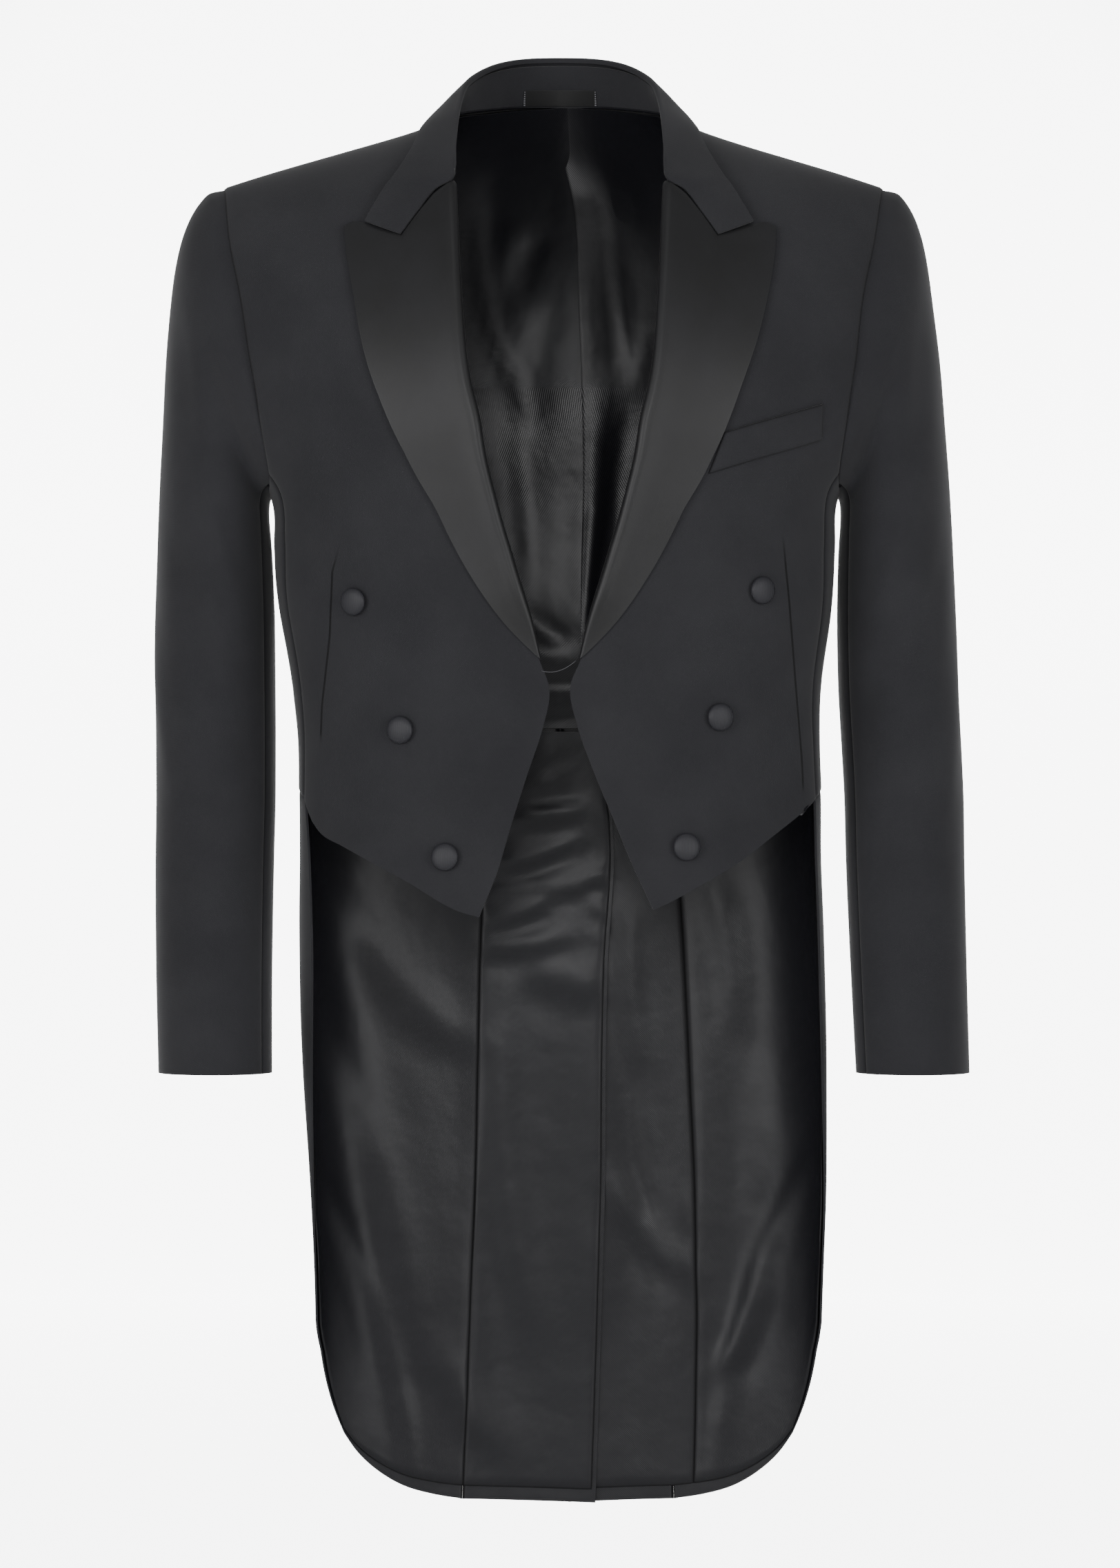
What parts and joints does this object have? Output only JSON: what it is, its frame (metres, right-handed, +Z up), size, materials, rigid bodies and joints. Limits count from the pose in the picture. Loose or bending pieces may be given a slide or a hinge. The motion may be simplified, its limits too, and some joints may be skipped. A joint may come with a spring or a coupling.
{
  "type": "tailcoat",
  "caption": "White tie tailcoat, cut away at the front, with satin peaked lapels, covered buttons, breast welt and long vented tails, filled out as if worn",
  "frame": {"origin": "Between the shoulders at the height of the neck, where the wearer's shoulders carry the coat.", "axes": "+Z up, front faces -Y, the wearer's left is +X."},
  "size_m": [0.5829, 0.2582, 1.0578],
  "materials": {
    "wool": "matte charcoal-black barathea wool",
    "lapel_satin": "black satin facing, soft sheen",
    "lining_satin": "black viscose satin lining, sheen",
    "covered_button": "buttons covered with satin",
    "label": "woven label, bare"
  },
  "bodies": {
    "root": {"front_right": "wool", "front_left": "wool", "side_body_right": "wool", "side_body_left": "wool", "back_right": "wool", "back_left": "wool", "skirt_right": "wool", "skirt_left": "wool", "top_sleeve_right": "wool", "top_sleeve_left": "wool", "under_sleeve_right": "wool", "under_sleeve_left": "wool", "collar_fall": "wool", "collar_stand": "wool", "breast_welt": "wool", "lapel_right": "lapel_satin", "lapel_left": "lapel_satin", "back_lining_right": "lining_satin", "back_lining_left": "lining_satin", "tail_lining_centre_right": "lining_satin", "tail_lining_centre_left": "lining_satin", "tail_lining_side_right": "lining_satin", "tail_lining_side_left": "lining_satin", "neck_label": "label", "button_right_1": "covered_button", "button_right_2": "covered_button", "button_right_3": "covered_button", "button_left_1": "covered_button", "button_left_2": "covered_button", "button_left_3": "covered_button", "back_button_right": "covered_button", "back_button_left": "covered_button"}
  },
  "joints": []
}
